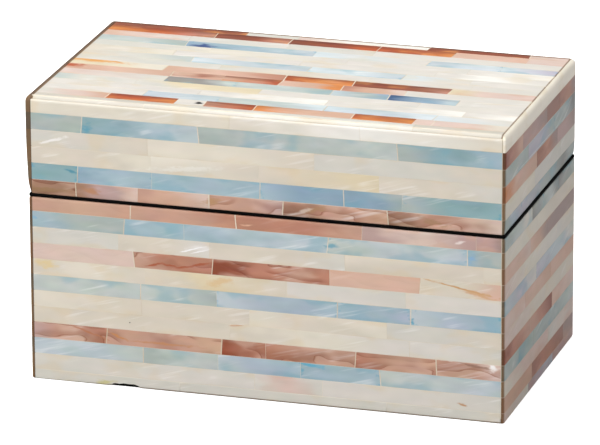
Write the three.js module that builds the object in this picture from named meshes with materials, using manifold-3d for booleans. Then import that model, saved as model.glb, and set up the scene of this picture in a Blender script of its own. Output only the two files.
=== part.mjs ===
// A lidded wooden box faced with rows of mother-of-pearl strips.
// Millimetres, +Z up, the front towards -Y, the origin under the middle of the box.
import * as THREE from "three";
import { mergeVertices } from "three/addons/utils/BufferGeometryUtils.js";
import Module from "manifold-3d";

// Overall sizes over the shell, before the ends of the lid bow out.
const LENGTH = 251.5;
const DEPTH = 140.5;
const HEIGHT = 152.4;
const LID_HEIGHT = 52.3;
const RIM_HEIGHT = 1.6;

// Thicknesses of the shell facing and of the wooden boards behind it.
const SHELL = 1.6;
const WALL_BOARD = 8;
const FLOOR_BOARD = 6;
const TOP_BOARD = 8;

// The tongue of the base stands inside the rebate of the lid.
const TONGUE_RISE = 5;
const TONGUE_THICKNESS = 3.6;
const LID_CLEARANCE = 0.4;

// Edges eased by sanding.
const UPRIGHT_RADIUS = 1.3;
const LID_TOP_RADIUS = 3.2;
const LID_FOOT_RADIUS = 1;
const BASE_EDGE_RADIUS = 1;
const RIM_RADIUS = 0.5;
const ARC_STEPS = 3;

// The hand-made lid leans out at its ends and is eased in again at its foot.
const LEFT_BOW = 1.3;
const RIGHT_BOW = 0.5;
const END_EASE = 1.4;
const END_EASE_HEIGHT = 8;
const BOW_PEAK = 0.75; // share of the lid's height
const BOW_STEPS = 4;

// Joints between rows and between the strips of a row. A thin web holds a row together.
const JOINT = 0.3;
const WEB = 0.5;

// Rows that were trimmed to fill a face. The other rows share what is left.
const LID_FOOT_ROW = 7.9;
const TOP_FRONT_ROW = 6.9;
const BASE_FIRST_ROW = 7.5;
const BASE_FOOT_ROW = 5.6;

// A chip in the front's lowest row, which bares the painted wood. It starts this far from the left end.
const CHIP_START = 43.5;
const CHIP_LENGTH = 13.5;
const CHIP_HEIGHT = 1.3;

const COLOURS = { cream: 0xddd5c2, blue: 0x9fb9c4, rose: 0xc08f7b, rust: 0xb5653b, mixed: 0xcbc3b8 };
const PAINT = 0x14110f;
const SHELL_ROUGHNESS = 0.25;
const PAINT_ROUGHNESS = 0.5;

// Each row: its shell, then its joints in millimetres from the left end of the face.
// Joints that a shorter face would not reach are left out.
const TOP_ROWS = [
  ["rust", 76, 104, 174.5, 228.5],
  ["rust", 61, 101.5, 149.5, 190, 229.5],
  ["cream", 49.5, 103, 149.5],
  ["blue", 50.5, 120, 181, 220],
  ["cream", 66, 140, 205],
  ["cream", 49.5, 118, 190],
  ["blue", 62, 125, 175.5, 211],
  ["cream", 80, 160, 214],
  ["rust", 53, 117.5, 154, 205],
  ["rose", 59.5, 87, 117.5, 150.5, 184],
  ["blue", 59, 97, 147.5, 177.5, 214],
  ["cream", 46, 112, 196],
  ["cream", 83, 150, 222],
  ["blue", 56.5, 96, 152, 209.5],
  ["rust", 39.5, 91, 117.5, 169, 211],
  ["cream", 62, 136, 203],
];
const LID_FRONT_ROWS = [
  ["cream", 107.5, 176],
  ["blue", 29, 91, 195.5],
  ["cream", 64, 152],
  ["cream", 65.5, 123, 186],
  ["blue", 26.5, 66, 123.5, 167.5, 198],
  ["rose", 25.5, 58.5, 96.5, 135.5, 190.5],
];
const BASE_FRONT_ROWS = [
  ["rose", 54.5, 110.5, 177, 236.5],
  ["blue", 51, 83, 159, 232],
  ["cream", 48, 96.5, 168, 240.5],
  ["rose", 56, 98, 160, 207.5],
  ["cream", 62, 137.5, 200],
  ["blue", 59.5, 100, 164, 202.5],
  ["cream", 60, 117.5, 190],
  ["cream", 107, 202],
  ["rose", 41, 102.5, 126, 173.5, 216],
  ["blue", 60.5, 100.5, 144.5, 186.5],
  ["cream", 120, 156],
  ["cream", 80, 190],
];
const LID_RIGHT_ROWS = [
  ["cream", 70],
  ["rose", 34, 82, 107],
  ["blue", 45, 96],
  ["rose", 62, 103],
  ["cream", 58, 110],
  ["blue", 33, 91],
];
const BASE_RIGHT_ROWS = [
  ["cream", 54, 106],
  ["cream", 66],
  ["rose", 51, 84],
  ["cream", 44, 104],
  ["blue", 63],
  ["rose", 41, 92],
  ["cream", 72],
  ["rose", 52, 95],
  ["blue", 28.5, 58, 100],
  ["cream", 87],
  ["rose", 55, 118],
  ["cream", 48, 97],
];
// The two sides out of view are plainer: strips of one length, started further in on every other row.
const PLAIN_STRIP = 58;
const PLAIN_SHIFT = 25;

// Levels and planes that follow from the sizes above.
const BASE_HEIGHT = HEIGHT - LID_HEIGHT - RIM_HEIGHT;
const SEAM = BASE_HEIGHT + RIM_HEIGHT;
const HALF_LENGTH = LENGTH / 2;
const HALF_DEPTH = DEPTH / 2;
const BOARD_X = HALF_LENGTH - SHELL;
const BOARD_Y = HALF_DEPTH - SHELL;
const HOLLOW_X = BOARD_X - WALL_BOARD;
const HOLLOW_Y = BOARD_Y - WALL_BOARD;
const BEYOND = 10;

const wasm = await Module();
wasm.setup();

function toSolid(geometry) {
  const bare = geometry.clone();
  bare.deleteAttribute("normal");
  bare.deleteAttribute("uv");
  const merged = mergeVertices(bare, 1e-4);
  return new wasm.Manifold(
    new wasm.Mesh({
      numProp: 3,
      vertProperties: new Float32Array(merged.attributes.position.array),
      triVerts: new Uint32Array(merged.index.array),
    }),
  );
}

function toGeometry(solid) {
  const mesh = solid.getMesh();
  const geometry = new THREE.BufferGeometry();
  geometry.setAttribute("position", new THREE.BufferAttribute(mesh.vertProperties, 3));
  geometry.setIndex(new THREE.BufferAttribute(mesh.triVerts, 1));
  const flat = geometry.toNonIndexed();
  flat.computeVertexNormals();
  return flat;
}

// A box between two corners.
function block(low, high) {
  const size = high.map((value, axis) => value - low[axis]);
  const geometry = new THREE.BoxGeometry(...size);
  geometry.translate(...low.map((value, axis) => value + size[axis] / 2));
  return toSolid(geometry);
}

// One level of a rounded block: a rectangle with round corners, drawn in or out at each side.
function ring(z, left, right, sides, radius) {
  const points = [];
  const corners = [
    [right - radius, sides - radius, 0],
    [left + radius, sides - radius, 1],
    [left + radius, radius - sides, 2],
    [right - radius, radius - sides, 3],
  ];
  for (const [x, y, turn] of corners) {
    for (let step = 0; step <= ARC_STEPS; step += 1) {
      const angle = (turn + step / ARC_STEPS) * (Math.PI / 2);
      points.push([x + radius * Math.cos(angle), y + radius * Math.sin(angle), z]);
    }
  }
  return points;
}

// A closed solid through a stack of rings that have the same number of points.
function loft(rings) {
  const count = rings[0].length;
  const index = [];
  for (let level = 1; level < rings.length; level += 1) {
    for (let i = 0; i < count; i += 1) {
      const a = (level - 1) * count + i;
      const b = (level - 1) * count + ((i + 1) % count);
      index.push(a, b, b + count, a, b + count, a + count);
    }
  }
  const top = (rings.length - 1) * count;
  for (let i = 1; i < count - 1; i += 1) {
    index.push(0, i + 1, i);
    index.push(top, top + i, top + i + 1);
  }
  const geometry = new THREE.BufferGeometry();
  geometry.setAttribute("position", new THREE.Float32BufferAttribute(rings.flat(2), 3));
  geometry.setIndex(index);
  return toSolid(geometry);
}

// How far an eased edge draws in at each step, from its flat outer end to its inner end.
function easedEdge(radius) {
  const steps = [];
  for (let step = 0; step <= ARC_STEPS; step += 1) {
    const angle = (step / ARC_STEPS) * (Math.PI / 2);
    steps.push({ along: radius * (1 - Math.sin(angle)), inward: radius * (1 - Math.cos(angle)) });
  }
  return steps;
}

// How far the lid's ends stand out at a height above its foot, for a bow of one millimetre.
function bowAt(height) {
  return Math.sin((Math.min(height / (BOW_PEAK * LID_HEIGHT), 1) * Math.PI) / 2);
}

// How far the lid's ends are drawn in near its foot.
function endEaseAt(height) {
  const left = Math.max(1 - height / END_EASE_HEIGHT, 0);
  return END_EASE * left * left;
}

function lidLevel(height, inward) {
  return ring(
    SEAM + height,
    -HALF_LENGTH - LEFT_BOW * bowAt(height) + endEaseAt(height) + inward,
    HALF_LENGTH + RIGHT_BOW * bowAt(height) - endEaseAt(height) - inward,
    HALF_DEPTH - inward,
    UPRIGHT_RADIUS,
  );
}

function lidForm() {
  const rings = easedEdge(LID_FOOT_RADIUS)
    .reverse()
    .map((step) => lidLevel(step.along, step.inward));
  const straightStart = END_EASE_HEIGHT;
  const straightEnd = LID_HEIGHT - LID_TOP_RADIUS;
  rings.push(lidLevel((LID_FOOT_RADIUS + straightStart) / 2, 0));
  for (let step = 0; step < BOW_STEPS; step += 1) {
    rings.push(lidLevel(straightStart + ((straightEnd - straightStart) * step) / BOW_STEPS, 0));
  }
  for (const step of easedEdge(LID_TOP_RADIUS)) {
    rings.push(lidLevel(LID_HEIGHT - step.along, step.inward));
  }
  return loft(rings);
}

function plainLevel(z, inward) {
  return ring(z, inward - HALF_LENGTH, HALF_LENGTH - inward, HALF_DEPTH - inward, UPRIGHT_RADIUS);
}

// A block with eased foot and head edges, as long and as deep as the box.
function plainForm(low, high, radius) {
  const edge = easedEdge(radius);
  const foot = [...edge].reverse().map((step) => plainLevel(low + step.along, step.inward));
  const head = edge.map((step) => plainLevel(high - step.along, step.inward));
  return loft([...foot, ...head]);
}

// Rows laid over a span: the start and end of each, from the trimmed sizes of the first and the last.
function rowSpans(count, span, first, last) {
  const shared = count - (first ? 1 : 0) - (last ? 1 : 0);
  const width = (span - first - last) / shared;
  const spans = [];
  let start = 0;
  for (let row = 0; row < count; row += 1) {
    const trimmed = (row === 0 && first) || (row === count - 1 && last);
    const end = start + (trimmed || width);
    spans.push({ start, end });
    start = end;
  }
  return spans;
}

// The joints of a row on a side out of view.
function plainJoints(row, span) {
  const joints = [];
  for (let at = PLAIN_STRIP - (row % 2) * PLAIN_SHIFT; at < span; at += PLAIN_STRIP) {
    joints.push(at);
  }
  return joints;
}

// The faces. Each says how long its rows are and how far their ends stay back for the facing at either side.
// "box" marks off a stretch: "from" and "to" run along the rows, "low" and "high" across them, and
// "under" and "over" are how far it reaches in and out from the outer plane.
const FACES = {
  front: {
    span: LENGTH,
    inset: SHELL + JOINT,
    box: (from, to, low, high, under, over) =>
      block([from - HALF_LENGTH, -HALF_DEPTH - over, low], [to - HALF_LENGTH, under - HALF_DEPTH, high]),
  },
  back: {
    span: LENGTH,
    inset: SHELL + JOINT,
    box: (from, to, low, high, under, over) =>
      block([HALF_LENGTH - to, HALF_DEPTH - under, low], [HALF_LENGTH - from, HALF_DEPTH + over, high]),
  },
  right: {
    span: DEPTH,
    inset: 0,
    box: (from, to, low, high, under, over) =>
      block([HALF_LENGTH - under, from - HALF_DEPTH, low], [HALF_LENGTH + over, to - HALF_DEPTH, high]),
  },
  left: {
    span: DEPTH,
    inset: 0,
    box: (from, to, low, high, under, over) =>
      block([-HALF_LENGTH - over, HALF_DEPTH - to, low], [under - HALF_LENGTH, HALF_DEPTH - from, high]),
  },
  top: {
    span: LENGTH,
    inset: SHELL + JOINT,
    box: (from, to, low, high, under, over) =>
      block(
        [from - HALF_LENGTH, HALF_DEPTH - high, HEIGHT - under],
        [to - HALF_LENGTH, HALF_DEPTH - low, HEIGHT + over],
      ),
  },
};

// The grooves across a row where one strip meets the next. None is cut through the last sliver of a face.
function cutJoints(solid, face, joints, low, high) {
  let cut = solid;
  for (const at of joints.filter((joint) => joint < face.span - face.inset - SHELL)) {
    cut = cut.subtract(face.box(at - JOINT / 2, at + JOINT / 2, low, high, SHELL - WEB, BEYOND));
  }
  return cut;
}

const box = new THREE.Group();
box.position.x = (LEFT_BOW - RIGHT_BOW) / 2;

function addPiece(name, solid, colour, roughness) {
  const material = new THREE.MeshStandardMaterial({ color: colour, roughness, metalness: 0 });
  const mesh = new THREE.Mesh(toGeometry(solid), material);
  mesh.name = name;
  box.add(mesh);
}

// Rows of strips on a face that shows, each row a piece. Levels are the rows' edges on the face,
// and a chip is a solid that is missing from them.
function addRows(name, form, face, rows, levels, chip) {
  rows.forEach(([shell, ...joints], row) => {
    const { low, high } = levels[row];
    let solid = form.intersect(
      face.box(face.inset, face.span - face.inset, low, high, SHELL, BEYOND),
    );
    solid = cutJoints(solid, face, joints, low - BEYOND, high + BEYOND);
    if (chip) solid = solid.subtract(chip);
    const number = String(row + 1).padStart(2, "0");
    addPiece(`${name}_row_${number}`, solid, COLOURS[shell], SHELL_ROUGHNESS);
  });
}

// A face out of view: its rows are one panel with grooves between them.
function addPanel(name, form, face, levels) {
  const low = Math.min(...levels.map((level) => level.low));
  const high = Math.max(...levels.map((level) => level.high));
  let solid = form.intersect(face.box(face.inset, face.span - face.inset, low, high, SHELL, BEYOND));
  levels.forEach((level, row) => {
    if (row > 0) {
      const between = (level.high + levels[row - 1].low) / 2;
      solid = solid.subtract(
        face.box(-BEYOND, face.span + BEYOND, between - JOINT / 2, between + JOINT / 2, SHELL - WEB, BEYOND),
      );
    }
    solid = cutJoints(solid, face, plainJoints(row, face.span), level.low, level.high);
  });
  addPiece(name, solid, COLOURS.mixed, SHELL_ROUGHNESS);
}

// Levels of rows that are laid downwards from a height, with half a joint taken off where two meet.
function wallLevels(spans, height, headGap) {
  return spans.map(({ start, end }, row) => ({
    high: height - start - (row === 0 ? headGap : JOINT / 2),
    low: height - end + (row === spans.length - 1 ? 0 : JOINT / 2),
  }));
}

function addLid() {
  const form = lidForm();
  const spans = rowSpans(LID_FRONT_ROWS.length, LID_HEIGHT, 0, LID_FOOT_ROW);
  const underTop = wallLevels(spans, HEIGHT, SHELL + JOINT);
  const fullHeight = wallLevels(spans, HEIGHT, 0);
  const topSpans = rowSpans(TOP_ROWS.length, DEPTH, 0, TOP_FRONT_ROW);
  const topLevels = topSpans.map(({ start, end }, row) => ({
    low: start + (row === 0 ? 0 : JOINT / 2),
    high: end - (row === topSpans.length - 1 ? 0 : JOINT / 2),
  }));
  addRows("lid_top", form, FACES.top, TOP_ROWS, topLevels);
  addRows("lid_front", form, FACES.front, LID_FRONT_ROWS, underTop);
  addRows("lid_right", form, FACES.right, LID_RIGHT_ROWS, fullHeight);
  addPanel("lid_back_strips", form, FACES.back, underTop);
  addPanel("lid_left_strips", form, FACES.left, fullHeight);

  const rebate = TONGUE_THICKNESS + LID_CLEARANCE;
  const boards = block([-BOARD_X, -BOARD_Y, SEAM], [BOARD_X, BOARD_Y, HEIGHT - SHELL]);
  const hollow = block(
    [-HOLLOW_X, -HOLLOW_Y, SEAM - BEYOND],
    [HOLLOW_X, HOLLOW_Y, HEIGHT - SHELL - TOP_BOARD],
  );
  const step = block(
    [-HOLLOW_X - rebate, -HOLLOW_Y - rebate, SEAM - BEYOND],
    [HOLLOW_X + rebate, HOLLOW_Y + rebate, SEAM + TONGUE_RISE + LID_CLEARANCE],
  );
  addPiece("lid_carcase", boards.subtract(hollow).subtract(step), PAINT, PAINT_ROUGHNESS);
}

function addBase() {
  const form = plainForm(0, BASE_HEIGHT, BASE_EDGE_RADIUS);
  const spans = rowSpans(BASE_FRONT_ROWS.length, BASE_HEIGHT, BASE_FIRST_ROW, BASE_FOOT_ROW);
  const levels = wallLevels(spans, BASE_HEIGHT, 0);
  const chipEnd = CHIP_START + CHIP_LENGTH;
  const chip = FACES.front.box(CHIP_START, chipEnd, -BEYOND, CHIP_HEIGHT, SHELL + JOINT, BEYOND);
  addRows("base_front", form, FACES.front, BASE_FRONT_ROWS, levels, chip);
  addRows("base_right", form, FACES.right, BASE_RIGHT_ROWS, levels);
  addPanel("base_back_strips", form, FACES.back, levels);
  addPanel("base_left_strips", form, FACES.left, levels);

  const boards = block([-BOARD_X, -BOARD_Y, 0], [BOARD_X, BOARD_Y, SEAM]);
  const rim = plainForm(BASE_HEIGHT, SEAM, RIM_RADIUS);
  const tongue = block(
    [-HOLLOW_X - TONGUE_THICKNESS, -HOLLOW_Y - TONGUE_THICKNESS, BASE_HEIGHT],
    [HOLLOW_X + TONGUE_THICKNESS, HOLLOW_Y + TONGUE_THICKNESS, SEAM + TONGUE_RISE],
  );
  const hollow = block([-HOLLOW_X, -HOLLOW_Y, FLOOR_BOARD], [HOLLOW_X, HOLLOW_Y, HEIGHT]);
  addPiece("base_carcase", boards.add(rim).add(tongue).subtract(hollow), PAINT, PAINT_ROUGHNESS);
}

addBase();
addLid();

export default box;
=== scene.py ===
import math
from functools import partial

import bmesh
import bpy
import numpy as np
from bpy.props import FloatProperty, FloatVectorProperty, PointerProperty
from mathutils import Matrix, Vector


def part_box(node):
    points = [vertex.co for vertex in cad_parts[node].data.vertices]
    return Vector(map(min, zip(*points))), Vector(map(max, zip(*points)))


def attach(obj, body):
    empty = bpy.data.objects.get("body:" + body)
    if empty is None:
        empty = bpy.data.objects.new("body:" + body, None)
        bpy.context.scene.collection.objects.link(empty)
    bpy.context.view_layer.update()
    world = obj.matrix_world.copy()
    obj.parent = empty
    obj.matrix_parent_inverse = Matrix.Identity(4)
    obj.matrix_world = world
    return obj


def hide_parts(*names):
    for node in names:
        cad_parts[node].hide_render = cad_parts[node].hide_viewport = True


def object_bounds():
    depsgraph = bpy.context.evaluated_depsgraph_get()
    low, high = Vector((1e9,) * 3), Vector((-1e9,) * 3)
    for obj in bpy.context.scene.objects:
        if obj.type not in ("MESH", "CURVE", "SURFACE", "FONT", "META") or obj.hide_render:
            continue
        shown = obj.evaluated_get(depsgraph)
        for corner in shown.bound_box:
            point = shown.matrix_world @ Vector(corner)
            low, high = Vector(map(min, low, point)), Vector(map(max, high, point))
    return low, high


bl_info = {
    "name": "Shell Box",
    "version": (1, 0, 0),
    "blender": (4, 5, 0),
    "location": "View3D > Sidebar > Shell Box",
    "description": "Faces a lidded wooden box with rows of mother-of-pearl strips",
    "category": "Add Mesh",
}

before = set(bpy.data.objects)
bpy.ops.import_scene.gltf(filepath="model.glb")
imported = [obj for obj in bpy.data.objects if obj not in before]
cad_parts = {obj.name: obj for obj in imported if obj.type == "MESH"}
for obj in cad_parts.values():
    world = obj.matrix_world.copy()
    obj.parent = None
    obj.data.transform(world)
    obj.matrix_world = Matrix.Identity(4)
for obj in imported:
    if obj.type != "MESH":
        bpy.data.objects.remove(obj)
CAD_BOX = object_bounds()

MM = 0.001
BODY = "root"


def linear(hex_colour):
    """The linear colour of an sRGB hex value."""
    parts = [int(hex_colour[i:i + 2], 16) / 255 for i in (1, 3, 5)]
    return tuple(c / 12.92 if c <= 0.04045 else ((c + 0.055) / 1.055) ** 2.4 for c in parts)


# The frame's own sizes, in metres
RIM_LOW, RIM_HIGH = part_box("base_carcase")
LID_LOW, LID_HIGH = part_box("lid_carcase")
LEFT_X = RIM_LOW[0]
RIGHT_X = RIM_HIGH[0]
FRONT_Y = RIM_LOW[1]
BACK_Y = RIM_HIGH[1]
TOP_Z = CAD_BOX[1][2]
SEAM_Z = LID_LOW[2]
BASE_TOP_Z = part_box("base_back_strips")[1][2]
SHELL = LID_LOW[0] - LEFT_X
LEFT_BOW = LEFT_X - CAD_BOX[0][0]
RIGHT_BOW = 0.2 * (CAD_BOX[1][0] - RIGHT_X)
LENGTH = RIGHT_X - LEFT_X
DEPTH = BACK_Y - FRONT_Y

# Edges eased by sanding, as on the frame's solids
UPRIGHT_RADIUS = 1.3 * MM
LID_TOP_RADIUS = 3.2 * MM
FOOT_RADIUS = 1.0 * MM
LEFT_EASE = 1.4 * MM
RIGHT_EASE = 0.6 * MM
END_EASE_HEIGHT = 8 * MM
BOW_PEAK = 0.75
# How near to an upright edge the rounding of foot and head shortens the strips
CORNER_FADE = 8 * MM
# How deep an eased edge cuts into the shell, in shares of its thickness, and what it leaves of it on the top
TOP_CUT = 1.15
SIDE_CUT = 0.98
THINNEST = 0.02 * MM
# The deepest that a strip's polished edge may lie
DEEPEST = 0.5 * MM
# Two faces of a mesh that meet at more than this look sharp
SHARP_STRIP = math.radians(21)
SHARP_FILLER = math.radians(34)
# Half of the open joint between two rows of the frame's solids
SOLID_JOINT = 0.15 * MM

# The chip in the front's lower edge: its ends and height, and its ragged line in shares of them
CHIP = (43 * MM, 58.5 * MM, 2.0 * MM)
CHIP_LINE = [(0.0, 0.0), (0.04, 0.62), (0.13, 0.86), (0.3, 0.8), (0.44, 1.0), (0.62, 0.93), (0.8, 1.0),
             (0.93, 0.7), (1.0, 0.0)]

# Depths that a blank's vertices are marked with: on its face, on its polished edge and on the board
ON_FACE = 0.0
ON_EDGE = 1.0
ON_BOARD = 2.0

# Kinds of shell, and how strongly their figure shows: silvery slanting streaks, wavy growth rings, soft
# clouds, stains in a second colour, turquoise flecks at the ends and a dark upper edge.
KINDS = {
    "pale": (0.55, 0.0, 0.3, "#DABF8C", 0.25, 0.0, 0.0),
    "blue": (0.6, 0.0, 0.65, "#6BA3B4", 0.4, 0.5, 0.0),
    "brown": (0.15, 0.1, 0.35, "#D2A184", 0.35, 0.0, 0.0),
    "ringed": (0.6, 1.0, 0.6, "#DDBBA6", 0.45, 0.0, 0.1),
    "banded": (0.15, 0.6, 0.9, "#DE9350", 0.75, 0.0, 0.85),
}
# Shells by name: their kind and their colour under white light
SHELLS = {
    "ivory": ("pale", "#DDD4C3"),
    "cream": ("pale", "#D6CBBA"),
    "straw": ("pale", "#DACAA9"),
    "pearl": ("pale", "#D7D0C6"),
    "bone": ("pale", "#D1CCC1"),
    "oat": ("pale", "#C6BEB0"),
    "chalk": ("pale", "#EDE8DF"),
    # Brighter than any shell: a painted highlight for the rounded top edge of the lid's right side
    "milk": ("pale", "#FCF3E2"),
    "mist": ("blue", "#A9B2AC"),
    "fog": ("blue", "#BBC2BC"),
    "ice": ("blue", "#BAC4C7"),
    "sky": ("blue", "#A0B5BD"),
    "denim": ("blue", "#8BA3B3"),
    "teal": ("blue", "#88A6AA"),
    "haze": ("blue", "#CED6D8"),
    "slate": ("blue", "#7C7F7A"),
    "ink": ("blue", "#33547C"),
    "smoke": ("blue", "#8D8B84"),
    "dusk": ("blue", "#A8B5C0"),
    "lilac": ("blue", "#B9B5BE"),
    "blush": ("brown", "#D6BDB0"),
    "apricot": ("brown", "#D6B19C"),
    "tan": ("brown", "#CCA48C"),
    "rose": ("ringed", "#C39883"),
    "clay": ("brown", "#C39883"),
    "brick": ("brown", "#B88068"),
    "cocoa": ("brown", "#A0705E"),
    "dun": ("brown", "#A0877F"),
    "mauve": ("brown", "#B99A93"),
    "agate": ("ringed", "#B88068"),
    # A darker brown, laid only in the lowest row of the lid's front: partly painted shade above the seam
    "hazel": ("ringed", "#A27A61"),
    "umber": ("banded", "#8E4527"),
    "rust": ("banded", "#B5541F"),
    "amber": ("banded", "#D07F3E"),
}

# The cutting lists. A row is strips and joints in turn: a strip is a shell, or one that turns into another
# towards its right end, and a joint is its distance in millimetres from the left end of the face.
# A w after it marks an open joint, wide enough for the filler to show from a step away.
TOP_ROWS = [
    "umber 76w bone 104 blush>chalk>chalk 174.5w umber 228.5w blush",
    "amber>rust>agate 61w umber>umber>agate 101.5w umber>umber>rust 149.5w rust>rust>amber 190w apricot "
    "229.5 blush",
    "apricot>blush>pearl 49.5 bone>pearl 103 bone 149.5 pearl",
    "fog>fog>mist 50.5w denim>sky>ice 120 haze>pearl 181w ice>haze 220 haze>lilac",
    "bone>bone>ivory 66 ivory>pearl 140 pearl 205 pearl>chalk",
    "cream>ivory 49.5 pearl 118 pearl 190 pearl>chalk>pearl",
    "cream>bone>fog 62w haze>ice>ice 125w haze>haze>ice 175.5w haze>pearl 211 pearl",
    "bone 80 bone>cream>pearl 160 pearl 214 pearl>bone",
    "straw>ivory 53w tan>apricot>agate 117.5w rust>amber 154w umber>umber>agate 205w straw>blush>blush",
    "tan>apricot>tan 59.5w tan>agate>tan 87 tan>rust 117.5w apricot>tan>amber 150.5w agate>tan>blush "
    "184w pearl",
    "blush>bone 59w smoke>smoke>fog 97 fog>fog>mist 147.5w ice>mist>denim 177.5w ink>denim>ice 214w pearl",
    "fog>bone>pearl 46 bone>straw>straw 112 pearl 196 pearl",
    "pearl 83 pearl>chalk 150 pearl>pearl>chalk 222 pearl>chalk",
    "pearl 56.5w ice 96 fog>fog>haze 152w haze>ice>haze 209.5w haze>pearl",
    "bone>blush>tan 39.5w rust>rust>amber 76 pearl 91w agate>rust 117.5w amber>tan>tan 169w rust>amber 201 "
    "blush 211w blush>blush>cream",
    "oat 62 oat>bone 136 bone 203 oat",
]
LID_FRONT_ROWS = [
    "ivory 107.5 ivory>chalk 176 chalk>ivory",
    "mist 29w teal>sky>ice 91w mist>fog 195.5w mist>teal>sky",
    "bone>cream 64 ivory>ivory>cream 152 bone>bone>cream",
    "cream>cream>ivory 65.5 ivory>ivory>cream 123 cream>straw 186 cream>cream>bone",
    "teal 26.5w denim>sky>sky 66 sky 123.5w sky>denim>denim 167.5w denim>denim>mist 198 mist>teal>teal",
    # The lowest row's darker shells hold painted shade above the seam
    "hazel 25.5w hazel>mauve>blush 58.5 clay>tan>blush 96.5w rose>rose>mauve 135.5w hazel>rose>tan 190.5w "
    "hazel>rose>blush",
]
BASE_FRONT_ROWS = [
    "clay>tan>clay 54.5w clay>clay>brick 110.5w brick>brick>clay 177 mauve>blush>mauve 236.5 "
    "mauve>mauve>dun",
    "sky>mist>mist 51w sky 83 sky>ice 159w fog>ice 232w sky>mist>mist",
    "bone 48 cream>cream>pearl 96.5 cream>cream>bone 168 cream 240.5 cream",
    "blush 56w rose>agate>agate 98w umber>agate>agate 160 apricot 207.5w cream>cream>apricot",
    "cream>ivory>cream 62 cream>straw>cream 137.5 pearl>pearl>bone 200 pearl",
    "fog 59.5w fog>fog>mist 100 ice>dusk>sky 164w sky>dusk 202.5w ice>dusk>sky",
    "ivory>cream 60 cream 117.5 ivory>cream>ivory 190 bone>bone>cream",
    "cream 107 cream>ivory>pearl 202 pearl>pearl>bone",
    "mauve>rose>agate 41w rose>rose>tan 102.5w umber>agate 126 agate>rose>rose 173.5w agate>rose>tan "
    "216w rose>rose>blush",
    "ice>ice>fog 60.5w mist>fog>fog 100.5 ice>dusk>sky 144.5 sky 186.5w fog>ice",
    "bone>pearl 120 pearl>blush>bone 156 pearl>pearl>bone",
    "bone 80 bone 190 bone",
]
LID_RIGHT_ROWS = [
    # The top row's brightest shell is a painted highlight on the rounded edge
    "milk 70 milk",
    "umber>brick>tan 34 mauve>mauve>dun 82 cocoa 107 cocoa>brick>dun",
    "mist 45 lilac>lilac>mist 96 mist>mist>slate",
    "amber>apricot>tan 62 cocoa>brick>dun 103 mauve>mauve>dun",
    "ivory 58 pearl>bone 110 bone",
    "mist>dusk>lilac 33 lilac>mist 91 mist>smoke>mist",
]
BASE_RIGHT_ROWS = [
    "mist>fog>bone 54 smoke>mist 75 mist>fog>smoke 106 smoke>mist",
    "ivory 66 ivory>cream>cream",
    "apricot>apricot>blush 51 apricot>tan>dun 84 dun",
    "blush>ivory 44 ivory>pearl 104 pearl>cream",
    "ice>lilac>bone 63 lilac>ice>bone",
    "blush 41 apricot>apricot>tan 92 apricot>tan",
    "blush>cream 72 cream",
    "umber>brick>clay 52w clay>brick>umber 95w apricot>blush",
    "fog>mist 28.5 teal>mist 58 mist 100 mist>fog",
    "ivory>blush>blush 87 bone>blush",
    "tan 55 cocoa>brick>cocoa 118 dun",
    "blush>bone 48 mauve>lilac 97 mauve",
]
# Out of view: strips of one length, with shells taken in turn for each kind of row.
PLAIN_STRIP = 58 * MM
PLAIN_SHIFT = 25 * MM
PLAIN_SHELLS = {
    "cream": ["ivory", "pearl", "cream", "ivory>straw", "bone"],
    "blue": ["sky>mist", "ice", "teal>sky", "fog>denim", "dusk>ice"],
    "rose": ["rose>tan", "agate", "blush>tan", "umber>agate", "tan"],
}
PLAIN_LID = ["cream", "blue", "cream", "cream", "blue", "rose"]
PLAIN_BASE = ["rose", "blue", "cream", "rose", "cream", "blue",
              "cream", "cream", "rose", "blue", "cream", "cream"]

# Every face of the lid (True) and the base. Its place in the list numbers its strips' marks.
FACES = [("top", True), ("front", True), ("right", True), ("back", True), ("left", True),
         ("front", False), ("right", False), ("back", False), ("left", False)]

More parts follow.
